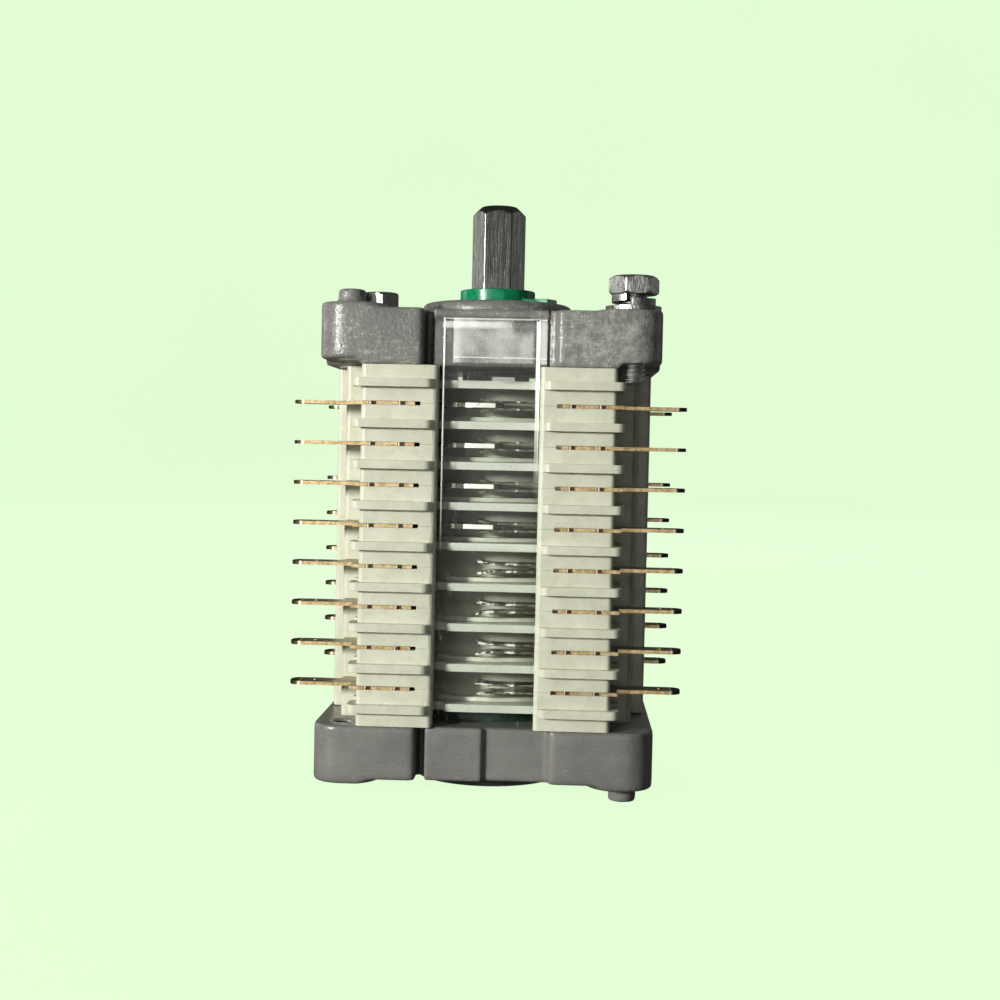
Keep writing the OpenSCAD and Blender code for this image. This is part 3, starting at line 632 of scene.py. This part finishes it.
smear = at.scaled(1, 1, 0.4).noise(7.0, 4.0, 0.6).over(0.45, 0.8)
motes = at.specks(2.2, 0.1) * at.noise(9.0).over(0.45, 0.65)
milk_and_painted_light = walls + scuff * 0.3 + painted_reflection_milk * 0.2 + worn * 0.06 + haze * 0.06 + patch * 0.2 + film * 0.04
print("and its wear by", len(clear.node_tree.nodes), "in all")

# %% [markdown]
# ## See-through and skin
# The last part mixes two shaders. The factor is the skin's share at each place: the milk, the
# marks, and the rim, which is Fresnel's growth towards grazing angles on faces seen from outside.
# The glow is an Emission Color.

# %% See-through and skin
outside = 1 - at.node("ShaderNodeNewGeometry", out="Backfacing")
rim = at.node("ShaderNodeFresnel", None, {"IOR": 1.5}) * outside
share = (rim * 0.9 + milk_and_painted_light + smear * 0.06 + hairline * 0.14 + motes * 0.4).at_most(1.0)
pale = (milk_and_painted_light + hairline + motes).over(0.0, 0.3)
# Painted light: a glow on the far edge, the far wall, the milky zone and faintly the whole panel.
painted_glow = far_edge * 0.7 + far_wall * 0.12 + painted_reflection_milk * 0.12 + panel * 0.03
feed(shader, Base_Color=pale.blend((0.03, 0.035, 0.03), (0.92, 0.93, 0.87)),
     Emission_Color=painted_glow.blend((0, 0, 0), (1.0, 0.99, 0.93)),
     Roughness=0.06 + 0.2 * smear, Normal=at.bump(at.noise(8.0, 1.0) * 0.08))
through = at.node("ShaderNodeBsdfTransparent", None, {"Color": (0.985, 0.995, 0.985, 1)})
skin = Wire(at.tree, shader.outputs[0])
mixed = at.node("ShaderNodeMixShader", None, {0: share, 1: through, 2: skin})
at.tree.links.new(mixed.socket, at.tree.nodes["Material Output"].inputs["Surface"])
tell(clear)

# %% [markdown]
# ## Floor finish
# The photograph's ground is an even pale green. A floor that is lit only by the lamps would be
# bright beside them and dark far off, so most of its colour is given as a glow and the rest is
# matt paint, which still takes the switch's soft shadow.

# %% Floor finish
ground, shader, at = finish("pale_floor", Specular_IOR_Level=0.0, Emission_Strength=0.935)
cloud = at.noise(500.0, 1.0)
feed(shader, Base_Color=cloud.blend((0.075, 0.1, 0.065), (0.08, 0.105, 0.07)),
     Emission_Color=cloud.blend((0.79, 1.02, 0.69), (0.82, 1.04, 0.71)), Roughness=0.8 + 0.1 * cloud)
floor.data.materials.append(ground)
tell(ground)

# %% [markdown]
# ## A finish for every solid
# The record names a material slot for each solid. So one table from slots to finishes dresses
# every solid, nothing is left plain, and the pieces made below take theirs from the same table.
# Setting them by hand would do too, but a solid is easily forgotten.

# %% Dress the solids
FINISHES = {"casting_paint": paint, "cream_moulding": cream, "terminal_brass": brass,
            "silvered_contact": silver, "spring_bronze": bronze, "drawn_steel": steel,
            "zinc_plated_steel": zinc, "green_bush": green, "rotor_plastic": rotor,
            "spring_steel": spring, "clear_cover": clear}
record = frame["record"]
slot_of = {part["node"]: part["material_slot"] for part in record["subparts"]}
body_of = {name: body for body, names in record["behaviour"]["bodies"].items() for name in names}


def dress(piece, slot):
    """Gives a piece the finish of a slot."""
    piece.data.materials.clear()
    piece.data.materials.append(FINISHES[slot])


for name, solid in nodes.items():
    dress(solid, slot_of[name])
print(f"{len(nodes)} solids dressed in {len(FINISHES)} finishes")

# %% [markdown]
# ## Merged copies
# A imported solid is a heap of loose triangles, which no modifier can round. So a copy is welded
# where the triangles touch, and neighbours that lie flat are joined to one face. The solid itself
# is left alone, and the copy takes its place, its finish and its body.

# %% Merged copies
WELD = 1e-7
FLAT = math.radians(0.5)


def merged_copy(name):
    """The solid's triangles, welded where they touch, with flat neighbours joined to one face."""
    work = bmesh.new()
    work.from_mesh(nodes[name].data)
    bmesh.ops.remove_doubles(work, verts=work.verts, dist=WELD)
    bmesh.ops.dissolve_limit(work, angle_limit=FLAT, verts=work.verts, edges=work.edges)
    work.verts.index_update()
    points = [v.co[:] for v in work.verts]
    faces = [[v.index for v in f.verts] for f in work.faces]
    work.free()
    return points, faces


def stand_in(piece, name):
    """The piece rides and dresses as the solid that it replaces, which is hidden."""
    dress(piece, slot_of[name])
    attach(piece, body_of[name])
    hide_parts(name)


loose, joined = len(nodes["drive_shaft"].data.polygons), len(merged_copy("drive_shaft")[1])
print(f"the shaft's {loose} triangles become {joined} faces")

# %% [markdown]
# ## Cast edges
# A die casting has no sharp edge: corners are rounded for the die, and inner corners are filled.
# A bevel would need room that the pads don't leave, so the merged copy is remeshed in fine voxels
# and smoothed a little, which rounds the outer edges and fills the inner ones together.

# %% Castings
VOXEL = 0.45 * MM
SOFTNESS, ROUNDS = 0.5, 14
for name in ("bottom_end_casting", "top_end_casting"):
    piece = mesh_object(name + "_cast", *merged_copy(name))
    remesh = piece.modifiers.new("voxels", "REMESH")
    remesh.mode, remesh.voxel_size, remesh.use_smooth_shade = "VOXEL", VOXEL, True
    soften = piece.modifiers.new("soften", "SMOOTH")
    soften.factor, soften.iterations = SOFTNESS, ROUNDS
    stand_in(piece, name)
    print(name, "remeshed at", round(VOXEL / MM, 2), "mm")

# %% [markdown]
# ## Moulded and stamped edges
# Every other edge is broken by a fraction of a millimetre, which is what catches the light. A
# Bevel modifier on the merged copy does it, and it shades the flat faces flat. The deck frames get
# only 0.1 mm: a wider edge would put faces across the narrow grooves in which the blades run.

# %% Broken edges
SHARP, STEPS = math.radians(35), 2
EDGES = {f"deck_frame_{count}": 0.1 for count in range(1, 10)}
EDGES |= {"left_side_cover": 0.3, "right_side_cover": 0.3, "front_window": 0.25,
          "rear_window": 0.25, "drive_shaft": 0.22, "top_bush": 0.25}
for name, width in EDGES.items():
    piece = mesh_object(name + "_edged", *merged_copy(name))
    bevel = piece.modifiers.new("edges", "BEVEL")
    bevel.width, bevel.segments = width * MM, STEPS
    bevel.limit_method, bevel.angle_limit = "ANGLE", SHARP
    bevel.use_clamp_overlap, bevel.harden_normals = False, True
    bevel.miter_outer = "MITER_ARC"
    stand_in(piece, name)
widths = sorted(EDGES.values())
print(f"{len(EDGES)} solids with broken edges, {widths[0]} to {widths[-1]} mm wide")

# %% [markdown]
# ## Bolt shapes
# A thread is a cylinder whose radius rises and falls once for each millimetre along it and once
# for each turn around it, so one formula makes a whole shank. A bolt's head is a hexagon whose
# corners are worn round and cut off by a cone: at each height, the smaller of the hexagon's reach
# and the cone's. Both could be cut from solids with booleans, which leave ragged faces.

# %% Bolt shapes
CREASE = math.radians(40)
CORNER_WEAR = 90
THREAD_LEAD = 1.0
STEEPNESS, ROOT = 1.35, 0.12


def turned(name, radius, height, turn, centre):
    """A surface around an upright line, in mm: radius and height for each row and each angle. The
    rows close on the line where the radius is almost zero."""
    piece = surface(name, around(radius, turn, height, centre) * MM)
    piece.data.set_sharp_from_angle(angle=CREASE)
    return piece


def hexagon_reach(turn, across, offset):
    """From a hexagon's middle to its side: half its width over the largest of the cosines to its
    six sides. The largest is taken as a high power's root, which rounds the corners."""
    sides = offset + np.arange(6) * math.pi / 3
    cosines = np.clip(np.cos(turn[..., None] - sides), 0, 1)
    return across / 2 / (cosines ** CORNER_WEAR).sum(-1) ** (1 / CORNER_WEAR)


def thread_reach(turn, height, core, depth):
    """The radius of a thread: a triangle wave of height less turn, flat at its crest and root."""
    phase = (height / THREAD_LEAD - turn / (2 * math.pi)) % 1
    wave = np.clip(STEEPNESS * (1 - 2 * np.abs(phase - 0.5)), ROOT, 1.0)
    return core + depth * wave


corner = hexagon_reach(np.radians([[30.0]]), 10, 0)[0, 0]
print(f"a 10 mm hexagon reaches {corner:.2f} mm at its worn corners")

# %% [markdown]
# ## Mounting bolt
# An M6 bolt stands in the upper casting, and its thread shows under it. The solid is a plain
# cylinder, so it is replaced by two surfaces: the shank with its thread, which tapers in at the
# tip, and the head with its worn crown. The head is turned as in the photograph.

# %% Mounting bolt
BOLT_LENGTH, BOLT_CORE, THREAD_DEPTH = 20, 2.45, 0.54
TIP_RADIUS, NECK_RADIUS, NECK_LENGTH, ROW = 2.2, 2.9, 0.6, 0.08
HEAD_ACROSS, HEAD_TURN = 10, math.radians(40)
low, high = (np.array(corner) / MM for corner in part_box("mounting_bolt"))
centre, tip = (low[:2] + high[:2]) / 2, low[2]
seat = tip + BOLT_LENGTH
turn = full_turn(72)
rise = np.arange(tip, seat - NECK_LENGTH, ROW)[:, None]
thread = thread_reach(turn, rise, BOLT_CORE, THREAD_DEPTH)
thread = np.minimum(thread, TIP_RADIUS + rise - tip)
shank = np.concatenate([np.full_like(turn, 1e-3), thread, np.full_like(turn, NECK_RADIUS)])
rise = np.concatenate([[[tip]], rise, [[seat + 0.2]]])
bolt_shank = turned("mounting_bolt_thread", shank, rise, turn, centre)

turn = full_turn(240)
crown = np.array([  # radius of the cone, height over the seat
    [0.01, 0], [4.2, 0], [4.9, 0], [5.05, 0.02], [5.3, 0.2], [9, 0.5], [9, 3.4], [5.35, 3.62],
    [5.1, 3.8], [4.85, 3.96], [4.6, 4.1], [4.35, 4.18], [4.1, 4.2], [2.5, 4.2], [0.01, 4.2]])
reach = np.minimum(hexagon_reach(turn, HEAD_ACROSS, HEAD_TURN), crown[:, :1])
bolt_head = turned("mounting_bolt_head", reach, seat + crown[:, 1:], turn, centre)
for piece in (bolt_shank, bolt_head):
    stand_in(piece, "mounting_bolt")
print(f"bolt from {tip:.2f} to {high[2]:.2f} mm with {len(bolt_shank.data.polygons)} faces of thread")

# %% [markdown]
# ## Tie bolts
# Two long bolts clamp the stack. Only their hexagon heads show, so each is one turned surface: a
# plain shank, then the head with its corners cut by a cone. The heads are turned so that a corner
# points at the camera, as in the photograph. The washers' box tells where the bolts stand.

# %% Tie bolts
TIE_ACROSS, TIE_TURN = 7.5, math.radians(-108)
TIE_SHANK, WASHER = 2, 4.4
foot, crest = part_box("tie_bolts")[0][2] / MM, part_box("tie_bolts")[1][2] / MM
far_x, far_y, seat = np.array(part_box("tie_washers")[1]) / MM
tie_x, tie_y = far_x - WASHER, far_y - WASHER
turn = full_turn(144)
profile = np.array([  # radius of the cone, height
    [0.01, foot], [TIE_SHANK, foot], [TIE_SHANK, seat], [9, seat], [9, crest - 0.75],
    [4.15, crest - 0.5], [3.9, crest - 0.25], [3.6, crest - 0.05], [3.4, crest], [0.01, crest]])
reach = np.minimum(hexagon_reach(turn, TIE_ACROSS, TIE_TURN), profile[:, :1])
for name, way in (("tie_bolt_front", -1), ("tie_bolt_rear", 1)):
    bolt = turned(name, reach, profile[:, 1:], turn, (way * tie_x, way * tie_y))
    stand_in(bolt, "tie_bolts")
print(f"tie bolts at {tie_x:.2f}, {tie_y:.2f} mm")

# %% [markdown]
# ## Tapped holes
# The solids have plain core holes. A fine helical ring in each, standing a little way in, shows
# that they are tapped. It follows the bolt's formula, seen from inside. The holes lie where the
# bolt does, mirrored across the shaft.

# %% Tapped holes
HOLE_CORE, HOLE_DEPTH, HOLE_ROW = 2.14, 0.42, 0.1
LOWER, UPPER = (4.2, 16.0), (98.4, 109.0)
side, front = centre
turn = full_turn(60)
holes = [(-side, front, LOWER), (side, -front, LOWER), (-side, -front, UPPER)]
for count, (x, y, (foot, head)) in enumerate(holes, 1):
    rise = np.arange(foot, head, HOLE_ROW)[:, None]
    radius = thread_reach(turn, rise, HOLE_CORE, HOLE_DEPTH)
    ring = turned(f"tapped_thread_{count}", radius, rise, turn, (x, y))
    dress(ring, "spring_steel")
    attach(ring, "housing")
print(len(holes), "tapped holes")
